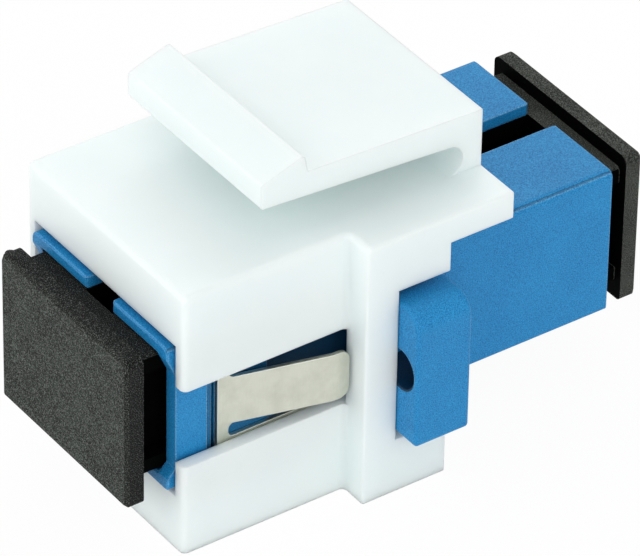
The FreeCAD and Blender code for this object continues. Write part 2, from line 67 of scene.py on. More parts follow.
# Places on the adapter, in millimetres
SHELL_HALF_WIDTH = 6.425
SHELL_EDGE = 0.45           # rounding of the shells' long top edges
# |X| + Z along the middle of the shells' rounded top edges, where a highlight line is painted
SHELL_CREST = SHELL_HALF_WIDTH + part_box("adapter_rear_shell")[1].z / MM - (2 - math.sqrt(2)) * SHELL_EDGE
CREST_FADE = 0.02           # width over which the painted highlight line on those edges fades
SEAT_HALF_WIDTH = 6.3       # the clip's seat in the shells lies just within this
POCKET_HALF_WIDTH = 5.8     # and the floor of the pockets behind its tongues just within this
HOLE_SHADE = Vector((9.4, 0.0, 8.22))   # middle of the painted shade on a screw hole, 0.13 below the hole's own
HOLE_SHADE_REACH = 1.21     # a little more than the hole's radius

# A noise pattern's values mostly lie between these two
NOISE_LOW = 0.3
NOISE_HIGH = 0.7
# How far the normal rounded over an edge agrees with the flat one where the edge starts to show,
# and where it shows in full
EDGE_STARTS = 0.992
EDGE_FULL = 0.9
# A mix node repeats the names of its sockets for each kind of data, so they go by number
COLOUR_A, COLOUR_B, COLOUR_MIXED = 6, 7, 2
VECTOR_A, VECTOR_B, VECTOR_MIXED = 4, 5, 1


def linear(code: str) -> tuple[float, float, float, float]:
    """Turn an sRGB hex code into the linear colour that the shaders take.

    Args:
        code: six hex digits, with or without a leading #.

    Returns:
        Red, green, blue and an alpha of 1.
    """
    digits = code.lstrip("#")
    channels = (int(digits[i:i + 2], 16) / 255 for i in (0, 2, 4))
    # the sRGB curve, with its straight foot
    red, green, blue = (c / 12.92 if c <= 0.04045 else ((c + 0.055) / 1.055) ** 2.4 for c in channels)
    return red, green, blue, 1.0


def add_node(tree: bpy.types.NodeTree, kind: str, sockets: dict[str | int, object] | None = None,
             **settings: object) -> bpy.types.Node:
    """Add one node to a tree with its settings and links.

    Args:
        tree: the node tree that gets the node.
        kind: the node's type name, such as ShaderNodeTexNoise.
        sockets: input name or number to a plain value, or to the output socket that feeds it.
        **settings: attributes of the node itself, such as its operation.

    Returns:
        The new node.
    """
    node = tree.nodes.new(kind)
    for name, value in settings.items():
        setattr(node, name, value)
    for key, value in (sockets or {}).items():
        if isinstance(value, bpy.types.NodeSocket):
            tree.links.new(value, node.inputs[key])
        else:
            node.inputs[key].default_value = value
    return node


def per_metre(size_mm: float) -> float:
    """Return the texture scale at which one feature of a pattern is this many millimetres wide."""
    return 1.0 / (size_mm * MM)


def start_material(name: str) -> tuple[bpy.types.Material, bpy.types.NodeTree]:
    """Make an empty material.

    Args:
        name: its name in the file.

    Returns:
        The material and its emptied node tree.
    """
    material = bpy.data.materials.new(name)
    material.use_nodes = True
    material.node_tree.nodes.clear()
    return material, material.node_tree


def edge_mask(tree: bpy.types.NodeTree, place: bpy.types.NodeSocket, width_mm: float, share: float,
              joint_mm: float = 0.0) -> tuple[bpy.types.NodeSocket, bpy.types.NodeSocket]:
    """Find the edges of a piece, which every mould leaves a little round; a finish gives them a paler
    colour, on plastics partly wear and partly a painted highlight.

    Args:
        tree: the node tree that gets the nodes.
        place: the object coordinates.
        width_mm: how far from an edge it counts.
        share: the mask's value on the edge itself.
        joint_mm: how far from the plane Y = 0 edges are left out, because two halves are welded there.

    Returns:
        The normal rounded over the edges, and the mask.
    """
    soft = add_node(tree, "ShaderNodeBevel", {"Radius": width_mm * MM}, samples=6).outputs[0]
    flat = add_node(tree, "ShaderNodeNewGeometry").outputs["Normal"]
    if joint_mm > 0:
        spot = add_node(tree, "ShaderNodeSeparateXYZ", {0: place})
        gap = add_node(tree, "ShaderNodeMath", {0: spot.outputs["Y"]}, operation="ABSOLUTE")
        clear = add_node(tree, "ShaderNodeMath", {0: gap.outputs[0], 1: joint_mm * MM},
                         operation="GREATER_THAN")
        kept = add_node(tree, "ShaderNodeMix", {
            "Factor": clear.outputs[0], VECTOR_A: flat, VECTOR_B: soft}, data_type="VECTOR")
        soft = kept.outputs[VECTOR_MIXED]
    match = add_node(tree, "ShaderNodeVectorMath", {0: soft, 1: flat}, operation="DOT_PRODUCT")
    mask = add_node(tree, "ShaderNodeMapRange", {
        "Value": match.outputs["Value"], "From Min": EDGE_STARTS, "From Max": EDGE_FULL,
        "To Min": 0.0, "To Max": share})
    return soft, mask.outputs[0]


class Gloss(Enum):
    """How a mould, die or polisher left the surface, as a roughness."""

    POLISHED = 0.16
    SATIN = 0.42
    STONED = 0.5
    ERODED = 0.74


@dataclass(frozen=True)
class MouldedPlastic:
    """An injection-moulded plastic or a ground ceramic, with a fine grain from its mould or wheel.

    Attributes:
        name: the material's name in the file.
        body: hex colour of the plastic.
        shade: hex colour of its darker clouds and of the grain's pits.
        wear_and_highlight: hex colour of its edges, paler partly from handling and partly as a painted
            highlight.
        gloss: the finish that the mould or the wheel left.
        grain_mm: width of one grain of the texture.
        grain_depth_mm: height of that grain.
        grain_contrast: share of the shade colour that the grain shows, 0 to 1.
        cloud_mm: width of the slow changes of tint over a face.
        cloud_contrast: share of the shade colour in those, 0 to 1.
        edge_mm: width of the paler edges.
        edge_share: share of the edge colour on them, 0 to 1.
        crest_mm: |X| + Z on the rounded long edges on top, along their painted highlight line, or 0 for
            none.
        crest_share: how strong that painted highlight is, as a share of the edge colour.
        joint_mm: width beside the plane Y = 0 where the halves are welded and no edge shows.
        recess: hex colour of the shade painted deep in holes and slots, or an empty text where they stay
            like the body.
        recess_mm: how near the other walls stand in such a hole.
        recess_span: open share round a point where the painted shade is full, and where it starts.
        hole_share: share of the painted shade colour on the screw holes.
        pocket_span: share of it on the floor of the tongues' pockets, and at the clip's seat.
        ior: refractive index.
        shine: strength of the surface's reflection, where 0.5 is that of the refractive index.
        glow: share of light that scatters inside the plastic.
        glow_mm: how far it scatters.
        pit_span: grain pattern from the deepest pits to the open surface.
        cloud_span: cloud pattern from the plain body to the full shade.
        gloss_swing: how much rougher the grain's pits are, and how much smoother its tips.
    """

    name: str
    body: str
    shade: str
    wear_and_highlight: str
    gloss: Gloss
    grain_mm: float
    grain_depth_mm: float
    grain_contrast: float
    cloud_mm: float
    cloud_contrast: float
    edge_mm: float = 0.08
    edge_share: float = 0.3
    crest_mm: float = 0.0
    crest_share: float = 0.6
    joint_mm: float = 0.0
    recess: str = ""
    recess_mm: float = 1.0
    recess_span: tuple[float, float] = (0.03, 0.22)
    hole_share: float = 0.88
    pocket_span: tuple[float, float] = (0.8, 0.4)
    ior: float = 1.5
    shine: float = 0.5
    glow: float = 0.0
    glow_mm: float = 0.4
    pit_span: tuple[float, float] = (0.36, 0.64)
    cloud_span: tuple[float, float] = (0.35, 0.65)
    gloss_swing: float = 0.06

    def build(self) -> bpy.types.Material:
        """Make the material's nodes.

        Returns:
            The finished material.
        """
        material, tree = start_material(self.name)
        place = add_node(tree, "ShaderNodeTexCoord").outputs["Object"]
        grain = add_node(tree, "ShaderNodeTexNoise", {
            "Vector": place, "Scale": per_metre(self.grain_mm), "Detail": 2.0, "Roughness": 0.6})
        cloud = add_node(tree, "ShaderNodeTexNoise", {
            "Vector": place, "Scale": per_metre(self.cloud_mm), "Detail": 3.0, "Roughness": 0.5})
        pits = add_node(tree, "ShaderNodeMapRange", {
            "Value": grain.outputs["Fac"], "From Min": self.pit_span[0], "From Max": self.pit_span[1],
            "To Min": self.grain_contrast, "To Max": 0.0})
        drift = add_node(tree, "ShaderNodeMapRange", {
            "Value": cloud.outputs["Fac"], "From Min": self.cloud_span[0], "From Max": self.cloud_span[1],
            "To Min": 0.0, "To Max": self.cloud_contrast})
        share = add_node(tree, "ShaderNodeMath", {0: pits.outputs[0], 1: drift.outputs[0]},
                         operation="ADD", use_clamp=True)
        tint = add_node(tree, "ShaderNodeMix", {
            "Factor": share.outputs[0], COLOUR_A: linear(self.body), COLOUR_B: linear(self.shade)},
            data_type="RGBA")
        soft, edges = edge_mask(tree, place, self.edge_mm, self.edge_share, self.joint_mm)
        # a painted highlight line along the middle of the rounded top edges
        if self.crest_mm > 0:
            both = add_node(tree, "ShaderNodeMath", {0: edges, 1: self.crest_highlight(tree, place)},
                            operation="MAXIMUM")
            edges = both.outputs[0]
        # the edges' paler colour, partly wear and partly a painted highlight, stays on the grain's tips
        tips = add_node(tree, "ShaderNodeMath", {0: 1.0, 1: pits.outputs[0]},
                        operation="SUBTRACT", use_clamp=True)
        edge_wear_and_highlight = add_node(tree, "ShaderNodeMath", {0: edges, 1: tips.outputs[0]}, operation="MULTIPLY")
        worn = add_node(tree, "ShaderNodeMix", {
            "Factor": edge_wear_and_highlight.outputs[0], COLOUR_A: tint.outputs[COLOUR_MIXED],
            COLOUR_B: linear(self.wear_and_highlight)}, data_type="RGBA")
        colour = worn.outputs[COLOUR_MIXED]
        # painted shade in the screw holes, the pockets and the slots
        if self.recess:
            colour = self.paint_recess_shade(tree, place, colour)
        rough = add_node(tree, "ShaderNodeMapRange", {
            "Value": grain.outputs["Fac"], "From Min": NOISE_LOW, "From Max": NOISE_HIGH,
            "To Min": self.gloss.value + self.gloss_swing, "To Max": self.gloss.value - self.gloss_swing})
        bump = add_node(tree, "ShaderNodeBump", {
            "Strength": 1.0, "Distance": self.grain_depth_mm * MM, "Height": grain.outputs["Fac"],
            "Normal": soft})
        shader = add_node(tree, "ShaderNodeBsdfPrincipled", {
            "Base Color": colour, "Roughness": rough.outputs[0], "Normal": bump.outputs[0],
            "IOR": self.ior, "Specular IOR Level": self.shine, "Subsurface Weight": self.glow,
            "Subsurface Scale": self.glow_mm * MM, "Subsurface Radius": (1.0, 1.0, 1.0)})
        add_node(tree, "ShaderNodeOutputMaterial", {"Surface": shader.outputs[0]})
        return material

    def crest_highlight(self, tree: bpy.types.NodeTree, place: bpy.types.NodeSocket) -> bpy.types.NodeSocket:
        """Find the line along the middle of the rounded top edges, where a highlight is painted.

        Args:
            tree: the node tree that gets the nodes.
            place: the object coordinates.

        Returns:
            The mask, faded at the line's borders.
        """
        spot = add_node(tree, "ShaderNodeSeparateXYZ", {0: place})
        across = add_node(tree, "ShaderNodeMath", {0: spot.outputs["X"]}, operation="ABSOLUTE")
        reach = add_node(tree, "ShaderNodeMath", {0: across.outputs[0], 1: spot.outputs["Z"]},
                         operation="ADD")
        line = add_node(tree, "ShaderNodeMapRange", {
            "Value": reach.outputs[0], "From Min": (self.crest_mm - CREST_FADE) * MM,
            "From Max": self.crest_mm * MM, "To Min": 0.0, "To Max": self.crest_share * self.edge_share})
        # the flange stands out past the shell's sides and has no such line
        shell = add_node(tree, "ShaderNodeMath", {0: across.outputs[0], 1: SHELL_HALF_WIDTH * MM},
                         operation="LESS_THAN")
        kept = add_node(tree, "ShaderNodeMath", {0: line.outputs[0], 1: shell.outputs[0]},
                        operation="MULTIPLY")
        return kept.outputs[0]

    def paint_recess_shade(self, tree: bpy.types.NodeTree, place: bpy.types.NodeSocket,
               colour: bpy.types.NodeSocket) -> bpy.types.NodeSocket:
        """Paint shade into the screw holes, the pockets and the slots: darker where other walls close in,
        and at the holes' and pockets' places.

        Args:
            tree: the node tree that gets the nodes.
            place: the object coordinates.
            colour: the plastic's colour in the open.

        Returns:
            The colour with shade painted into its deep places.
        """
        spot = add_node(tree, "ShaderNodeSeparateXYZ", {0: place})
        across = add_node(tree, "ShaderNodeMath", {0: spot.outputs["X"]}, operation="ABSOLUTE")
        openness = add_node(tree, "ShaderNodeAmbientOcclusion", {"Distance": self.recess_mm * MM}, samples=4)
        closed = add_node(tree, "ShaderNodeMapRange", {
            "Value": openness.outputs["AO"], "From Min": self.recess_span[0],
            "From Max": self.recess_span[1], "To Min": 1.0, "To Max": 0.0})
        hole = self.paint_hole_shade(tree, spot, across)
        pocket = self.paint_pocket_shade(tree, spot, across)
        deep = add_node(tree, "ShaderNodeMath", {0: hole, 1: pocket}, operation="MAXIMUM")
        share = add_node(tree, "ShaderNodeMath", {0: closed.outputs[0], 1: deep.outputs[0]},
                         operation="MAXIMUM")
        mixed = add_node(tree, "ShaderNodeMix", {
            "Factor": share.outputs[0], COLOUR_A: colour, COLOUR_B: linear(self.recess)}, data_type="RGBA")
        return mixed.outputs[COLOUR_MIXED]

    def paint_hole_shade(self, tree: bpy.types.NodeTree, spot: bpy.types.Node,
                    across: bpy.types.Node) -> bpy.types.NodeSocket:
        """Find the flange's screw holes by their place.

        Args:
            tree: the node tree that gets the nodes.
            spot: the object coordinates, one output for each axis.
            across: the distance from the plane X = 0.

        Returns:
            The share of the painted shade on them.
        """
        folded = add_node(tree, "ShaderNodeCombineXYZ", {"X": across.outputs[0], "Z": spot.outputs["Z"]})
        away = add_node(tree, "ShaderNodeVectorMath", {0: folded.outputs[0], 1: HOLE_SHADE * MM},
                        operation="DISTANCE")
        hole = add_node(tree, "ShaderNodeMath", {0: away.outputs["Value"], 1: HOLE_SHADE_REACH * MM},
                        operation="LESS_THAN")
        bored = add_node(tree, "ShaderNodeMath", {0: hole.outputs[0], 1: self.hole_share},
                         operation="MULTIPLY")
        return bored.outputs[0]

    def paint_pocket_shade(self, tree: bpy.types.NodeTree, spot: bpy.types.Node,
                      across: bpy.types.Node) -> bpy.types.NodeSocket:
        """Find the pockets behind the clip's tongues by their place.

        Args:
            tree: the node tree that gets the nodes.
            spot: the object coordinates, one output for each axis.
            across: the distance from the plane X = 0.

        Returns:
            The share of the painted shade in them.
        """
        facing = add_node(tree, "ShaderNodeTexCoord").outputs["Normal"]
        turned = add_node(tree, "ShaderNodeSeparateXYZ", {0: facing})
        # a pocket's floor looks outward, and the port's own walls look inward
        outward = add_node(tree, "ShaderNodeMath", {0: spot.outputs["X"], 1: turned.outputs["X"]},
                           operation="MULTIPLY")
        upright = add_node(tree, "ShaderNodeMath", {0: outward.outputs[0], 1: POCKET_HALF_WIDTH * MM / 2},
                           operation="GREATER_THAN")
        sunk = add_node(tree, "ShaderNodeMath", {0: across.outputs[0], 1: SEAT_HALF_WIDTH * MM},
                        operation="LESS_THAN")
        pocket = add_node(tree, "ShaderNodeMath", {0: upright.outputs[0], 1: sunk.outputs[0]},
                          operation="MULTIPLY")
        depth = add_node(tree, "ShaderNodeMapRange", {
            "Value": across.outputs[0], "From Min": POCKET_HALF_WIDTH * MM, "From Max": SEAT_HALF_WIDTH * MM,
            "To Min": self.pocket_span[0], "To Max": self.pocket_span[1]})
        dim = add_node(tree, "ShaderNodeMath", {0: pocket.outputs[0], 1: depth.outputs[0]},
                       operation="MULTIPLY")
        return dim.outputs[0]


@dataclass(frozen=True)
class ErodedPolyethylene:
    """A soft black polyethylene, spark-eroded on its broad faces and plain round its rim, with light and
    shade painted by face.

    Attributes:
        name: the material's name in the file.
        face: hex colour of the broad faces, eroded with their grain scuffed grey, and partly painted light.
        rim: hex colour of the plate's rim and the plug's top, plain, with its lightness partly painted light
            and shade.
        plug: painted shade, a near-black colour on the plug's sides and the plate's inner face.
        pit: hex colour of the grain's pits.
        tip: hex colour of the grain's highest tips, partly worn pale and partly painted glints.
        gloss: the finish of the mould.
        plate_mm: distance from the joint plane to just short of the plate's inner face.
        axis_mm: height of the fibre axis, above which the plug's top is seen.
        grain_mm: width of one grain.
        grain_depth_mm: height of the grain.
        scuff_mm: width of the darker patches that no hand has worn.
        shine: strength of the surface's reflection.
        painted_shade_dulling: how many times weaker it is on the plug's sides and the plate's inner face,
            where shade is painted.
        broad_span: how far a face looks along Y where it starts to count as broad, and fully does.
        top_tilt: how far a face looks up to count as a top.
        pit_span: grain pattern from the deepest pits to the open surface.
        scuff_span: scuff pattern from the darkest patches to the worn surface.
        scuff_share: share of the pit colour in those patches.
        tip_span: grain pattern from the open surface to the highest tips.
        tip_share: share of the tip colour on them.
        rim_tips: how strong the tips are on the rim, as a share of those on the broad faces.
        pit_roughness: how much rougher the pits are than the gloss says.
        tip_smoothness: how much smoother the tips are.
    """

    name: str
    face: str
    rim: str
    plug: str
    pit: str
    tip: str
    gloss: Gloss
    plate_mm: float
    axis_mm: float
    grain_mm: float
    grain_depth_mm: float
    scuff_mm: float
    shine: float
    painted_shade_dulling: float = 8.0
    broad_span: tuple[float, float] = (0.6, 0.9)
    top_tilt: float = 0.6
    pit_span: tuple[float, float] = (0.4, 0.52)
    scuff_span: tuple[float, float] = (0.35, 0.6)
    scuff_share: float = 0.3
    tip_span: tuple[float, float] = (0.54, 0.66)
    tip_share: float = 0.85
    rim_tips: float = 0.75
    pit_roughness: float = 0.08
    tip_smoothness: float = 0.12

    def build(self) -> bpy.types.Material:
        """Make the material's nodes.

        Returns:
            The finished material.
        """
        material, tree = start_material(self.name)
        coordinates = add_node(tree, "ShaderNodeTexCoord")
        place = coordinates.outputs["Object"]
        spot = add_node(tree, "ShaderNodeSeparateXYZ", {0: place})
        turned = add_node(tree, "ShaderNodeSeparateXYZ", {0: coordinates.outputs["Normal"]})
        along = add_node(tree, "ShaderNodeMath", {0: turned.outputs["Y"]}, operation="ABSOLUTE")
        # the broad faces, which look along Y, are paler and the rim darker: partly their eroded and plain
        # textures, partly light and shade painted by face
        broad = add_node(tree, "ShaderNodeMapRange", {
            "Value": along.outputs[0], "From Min": self.broad_span[0], "From Max": self.broad_span[1]})
        outer = add_node(tree, "ShaderNodeMix", {
            "Factor": broad.outputs[0], COLOUR_A: linear(self.rim), COLOUR_B: linear(self.face)},
            data_type="RGBA")
        # painted shade: near black on the plug's sides and the plate's inner face
        painted_shade = self.find_painted_shade(tree, spot, turned)
        skin = add_node(tree, "ShaderNodeMix", {
            "Factor": painted_shade, COLOUR_A: outer.outputs[COLOUR_MIXED], COLOUR_B: linear(self.plug)},
            data_type="RGBA")
        grain = add_node(tree, "ShaderNodeTexNoise", {
            "Vector": place, "Scale": per_metre(self.grain_mm), "Detail": 3.0, "Roughness": 0.7})
        scuff = add_node(tree, "ShaderNodeTexNoise", {
            "Vector": place, "Scale": per_metre(self.scuff_mm), "Detail": 3.0, "Roughness": 0.6})
        deep = add_node(tree, "ShaderNodeMapRange", {
            "Value": grain.outputs["Fac"], "From Min": self.pit_span[0], "From Max": self.pit_span[1],
            "To Min": 1.0, "To Max": 0.0})
        worn = add_node(tree, "ShaderNodeMapRange", {
            "Value": scuff.outputs["Fac"], "From Min": self.scuff_span[0], "From Max": self.scuff_span[1],
            "To Min": self.scuff_share, "To Max": 0.0})
        share = add_node(tree, "ShaderNodeMath", {0: deep.outputs[0], 1: worn.outputs[0]},
                         operation="ADD", use_clamp=True)
        pitted = add_node(tree, "ShaderNodeMix", {
            "Factor": share.outputs[0], COLOUR_A: skin.outputs[COLOUR_MIXED], COLOUR_B: linear(self.pit)},
            data_type="RGBA")
        high = add_node(tree, "ShaderNodeMapRange", {
            "Value": grain.outputs["Fac"], "From Min": self.tip_span[0], "From Max": self.tip_span[1],
            "To Min": 0.0, "To Max": self.tip_share})
        # the rim's tips stay darker than those on the broad faces: partly a shallower grain and partly
        # painted shade
        reach = add_node(tree, "ShaderNodeMapRange", {
            "Value": broad.outputs[0], "To Min": self.rim_tips, "To Max": 1.0})
        bare = add_node(tree, "ShaderNodeMath", {0: reach.outputs[0], 1: painted_shade},
                        operation="SUBTRACT", use_clamp=True)
        wear_and_highlight = add_node(tree, "ShaderNodeMath", {0: high.outputs[0], 1: bare.outputs[0]},
                          operation="MULTIPLY")
        tipped = add_node(tree, "ShaderNodeMix", {
            "Factor": wear_and_highlight.outputs[0], COLOUR_A: pitted.outputs[COLOUR_MIXED],
            COLOUR_B: linear(self.tip)}, data_type="RGBA")
        rough = add_node(tree, "ShaderNodeMapRange", {
            "Value": grain.outputs["Fac"], "From Min": NOISE_LOW, "From Max": NOISE_HIGH,
            "To Min": self.gloss.value + self.pit_roughness,
            "To Max": self.gloss.value - self.tip_smoothness})
        # the reflection is dimmed there too, so the painted shade stays dark
        dull = add_node(tree, "ShaderNodeMapRange", {
            "Value": painted_shade, "To Min": self.shine, "To Max": self.shine / self.painted_shade_dulling})
        bump = add_node(tree, "ShaderNodeBump", {
            "Strength": 1.0, "Distance": self.grain_depth_mm * MM, "Height": grain.outputs["Fac"]})
        shader = add_node(tree, "ShaderNodeBsdfPrincipled", {
            "Base Color": tipped.outputs[COLOUR_MIXED], "Roughness": rough.outputs[0],
            "Normal": bump.outputs[0], "Specular IOR Level": dull.outputs[0]})
        add_node(tree, "ShaderNodeOutputMaterial", {"Surface": shader.outputs[0]})
        return material

    def find_painted_shade(self, tree: bpy.types.NodeTree, spot: bpy.types.Node,
                    turned: bpy.types.Node) -> bpy.types.NodeSocket:
        """Find the plug's sides and the plate's inner face, where shade is painted.

        Args:
            tree: the node tree that gets the nodes.
            spot: the object coordinates, one output for each axis.
            turned: the direction in which the surface looks, one output for each axis.

        Returns:
            The mask, 1 on them.
        """
        depth = add_node(tree, "ShaderNodeMath", {0: spot.outputs["Y"]}, operation="ABSOLUTE")
        inside = add_node(tree, "ShaderNodeMath", {0: depth.outputs[0], 1: self.plate_mm * MM},
                          operation="LESS_THAN")
        upward = add_node(tree, "ShaderNodeMath", {0: turned.outputs["Z"], 1: self.top_tilt},
                          operation="GREATER_THAN")
        above = add_node(tree, "ShaderNodeMath", {0: spot.outputs["Z"], 1: self.axis_mm * MM},
                         operation="GREATER_THAN")
        top = add_node(tree, "ShaderNodeMath", {0: upward.outputs[0], 1: above.outputs[0]},
                       operation="MULTIPLY")
        side = add_node(tree, "ShaderNodeMath", {0: inside.outputs[0], 1: top.outputs[0]},
                        operation="SUBTRACT", use_clamp=True)
        # the plate's inner face looks back at the joint plane
        outward = add_node(tree, "ShaderNodeMath", {0: spot.outputs["Y"], 1: turned.outputs["Y"]},
                           operation="MULTIPLY")
        back = add_node(tree, "ShaderNodeMath", {0: outward.outputs[0], 1: -self.plate_mm * MM / 2},
                        operation="LESS_THAN")
        painted_shade = add_node(tree, "ShaderNodeMath", {0: side.outputs[0], 1: back.outputs[0]},
                          operation="MAXIMUM")
        return painted_shade.outputs[0]


@dataclass(frozen=True)
class SpringSteel:
    """Cold-rolled stainless spring strip, blanked and folded.

    Attributes:
        name: the material's name in the file.
        strip: hex colour of the rolled face.
        tarnish: hex colour of its duller patches.
        burr: hex colour of the blanked edges, where the metal is freshly sheared.
        gloss: the finish of the rolled face.
        streak_mm: width of the rolling streaks.
        streak_length: how many times longer than wide a streak is.
        streak_depth_mm: height of the streaks.
        patch_mm: width of the dull patches.
        burr_mm: width of the sheared edge that shows from the side.
        patch_span: patch pattern from the plain strip to the full tarnish.
        patch_share: share of the tarnish colour in the patches.
        gloss_swing: how much the roughness swings either way over the streaks.
    """

    name: str
    strip: str
    tarnish: str
    burr: str
    gloss: Gloss
    streak_mm: float
    streak_length: float
    streak_depth_mm: float
    patch_mm: float
    burr_mm: float
    patch_span: tuple[float, float] = (0.4, 0.7)
    patch_share: float = 0.6
    gloss_swing: float = 0.08

    def build(self) -> bpy.types.Material:
        """Make the material's nodes.

        Returns:
            The finished material.
        """
        material, tree = start_material(self.name)
        place = add_node(tree, "ShaderNodeTexCoord").outputs["Object"]
        # rolled along Z, so the streaks run up the clip's sides
        drawn = add_node(tree, "ShaderNodeVectorMath", {0: place, 1: (1.0, 1.0, 1.0 / self.streak_length)},
                         operation="MULTIPLY")
        streak = add_node(tree, "ShaderNodeTexNoise", {
            "Vector": drawn.outputs[0], "Scale": per_metre(self.streak_mm), "Detail": 3.0})
        patch = add_node(tree, "ShaderNodeTexNoise", {
            "Vector": place, "Scale": per_metre(self.patch_mm), "Detail": 4.0, "Roughness": 0.6})
        share = add_node(tree, "ShaderNodeMapRange", {
            "Value": patch.outputs["Fac"], "From Min": self.patch_span[0], "From Max": self.patch_span[1],
            "To Min": 0.0, "To Max": self.patch_share})
        tint = add_node(tree, "ShaderNodeMix", {
            "Factor": share.outputs[0], COLOUR_A: linear(self.strip), COLOUR_B: linear(self.tarnish)},
            data_type="RGBA")
        soft, edges = edge_mask(tree, place, self.burr_mm, 1.0)
        # the burr comes and goes along the edge
        ragged = add_node(tree, "ShaderNodeMath", {0: edges, 1: patch.outputs["Fac"]}, operation="MULTIPLY")
        sheared = add_node(tree, "ShaderNodeMix", {
            "Factor": ragged.outputs[0], COLOUR_A: tint.outputs[COLOUR_MIXED],
            COLOUR_B: linear(self.burr)}, data_type="RGBA")
        rough = add_node(tree, "ShaderNodeMapRange", {
            "Value": streak.outputs["Fac"], "From Min": NOISE_LOW, "From Max": NOISE_HIGH,
            "To Min": self.gloss.value - self.gloss_swing, "To Max": self.gloss.value + self.gloss_swing})
        bump = add_node(tree, "ShaderNodeBump", {
            "Strength": 1.0, "Distance": self.streak_depth_mm * MM, "Height": streak.outputs["Fac"],
            "Normal": soft})
        shader = add_node(tree, "ShaderNodeBsdfPrincipled", {
            "Base Color": sheared.outputs[COLOUR_MIXED], "Metallic": 1.0, "Roughness": rough.outputs[0],
            "Normal": bump.outputs[0]})
        add_node(tree, "ShaderNodeOutputMaterial", {"Surface": shader.outputs[0]})
        return material


Finish = MouldedPlastic | ErodedPolyethylene | SpringSteel

# ABS from a polished and lightly stoned mould: an even cool white with a soft sheen, and so filled
# with scattered light that its recesses stay pale
WHITE_ABS = MouldedPlastic(
    "abs_white_satin", body="#EFF9F8", shade="#E8F3F1", wear_and_highlight="#F2F9F8", gloss=Gloss.SATIN,
    grain_mm=0.12, grain_depth_mm=0.0006, grain_contrast=0.06, cloud_mm=6.0, cloud_contrast=0.4,
    edge_mm=0.12, edge_share=0.05, glow=0.6, glow_mm=1.3)
# PBT from a mould with a fine eroded grain: a mottled matte blue with paler edges, partly worn and partly a
# painted highlight, and painted shade nearly black deep in its holes; its grain is drawn a little coarser
# than the real 0.03 mm grain so that it shows
BLUE_PBT = MouldedPlastic(
    "pbt_blue_matte", body="#2E9FD9", shade="#0E68A8", wear_and_highlight="#9CCBE6", gloss=Gloss.STONED,
    grain_mm=0.055, grain_depth_mm=0.002, grain_contrast=0.95, cloud_mm=3.0, cloud_contrast=0.12,
    edge_mm=0.14, edge_share=0.75, crest_mm=SHELL_CREST, joint_mm=0.15,
    recess="#020B22", recess_mm=2.0, shine=0.25)
# soft polyethylene from a coarse eroded mould: scuffed grey faces over dark pits, with pale tips partly worn
# and partly painted glints, the plainer rim darker partly as painted shade, the plug's sides painted near
# black as shade, and its grain drawn wide enough to show
FRONT_PE = ErodedPolyethylene(
    "polyethylene_black_eroded", face="#3C413C", rim="#060806", plug="#010201", pit="#050605",
    tip="#7E837E", gloss=Gloss.ERODED, plate_mm=15.5, axis_mm=8.35,
    grain_mm=0.06, grain_depth_mm=0.008, scuff_mm=1.8, shine=0.16)
# the same plastic on the rear cap, with a paler rim as painted light: a lit copy of the front cap's finish
REAR_PE = replace(FRONT_PE, name="polyethylene_black_lit_rim", rim="#42453F")
# unfilled PBT in its natural colour: milky, smooth, slightly translucent
NATURAL_PBT = MouldedPlastic(
    "pbt_natural_smooth", body="#E6E3D6", shade="#DAD6C6", wear_and_highlight="#ECE9DE", gloss=Gloss.SATIN,
    grain_mm=0.15, grain_depth_mm=0.0005, grain_contrast=0.1, cloud_mm=2.0, cloud_contrast=0.4,
    glow=0.2, glow_mm=0.8)
# zirconia, sintered and ground: ivory white with a hard polish
ZIRCONIA = MouldedPlastic(
    "zirconia_ground", body="#F3EFE4", shade="#E8E3D4", wear_and_highlight="#F8F5EC", gloss=Gloss.POLISHED,
    grain_mm=0.1, grain_depth_mm=0.0003, grain_contrast=0.15, cloud_mm=1.5, cloud_contrast=0.3,
    edge_share=0.1, ior=2.1)
# stainless spring strip, cold rolled: a warm grey satin with faint streaks and bright sheared edges
SPRING_STEEL = SpringSteel(
    "stainless_spring_rolled", strip="#D2D5C8", tarnish="#BCBFB0", burr="#FAFBF6", gloss=Gloss.SATIN,
    streak_mm=0.08, streak_length=8.0, streak_depth_mm=0.0015, patch_mm=1.2, burr_mm=0.07)


def dress(piece: bpy.types.Object, finish: Finish) -> None:
    """Give one piece its material.

    Args:
        piece: the object to dress.
        finish: what it is made of.
    """
    material = bpy.data.materials.get(finish.name) or finish.build()
    piece.data.materials.clear()
    piece.data.materials.append(material)


@dataclass
class KeystoneInsert:
    """The white insert that snaps into a panel: one moulding with its flexing latch.

    Attributes:
        node: the insert's node.
        finish: what it is moulded from.
    """

    node: str = "keystone_housing"
    finish: MouldedPlastic = WHITE_ABS

    def build(self) -> None:
        """Dress the insert."""
        dress(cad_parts[self.node], self.finish)
        LOG.info("insert: %s in %s", self.node, self.finish.name)


@dataclass
class FibreAdapter:
    """The blue adapter: two shells, and inside them the hooks and the sleeve.

    Attributes:
        shells: the nodes of its two halves.
        inserts: the nodes of the two hook inserts.
        sleeve: the node of the split sleeve.
        shell_finish: what the halves are moulded from.
        insert_finish: what the inserts are moulded from.
        sleeve_finish: what the sleeve is ground from.
    """

    shells: tuple[str, ...] = ("adapter_front_shell", "adapter_rear_shell")
    inserts: tuple[str, ...] = ("front_hook_insert", "rear_hook_insert")
    sleeve: str = "alignment_sleeve"
    shell_finish: MouldedPlastic = BLUE_PBT
    insert_finish: MouldedPlastic = NATURAL_PBT
    sleeve_finish: MouldedPlastic = ZIRCONIA

    def build(self) -> None:
        """Dress the shells and what they hold."""
        wears = {node: self.shell_finish for node in self.shells}
        wears.update({node: self.insert_finish for node in self.inserts})
        wears[self.sleeve] = self.sleeve_finish
        for node, finish in wears.items():
            dress(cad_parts[node], finish)
            LOG.info("adapter: %s in %s", node, finish.name)


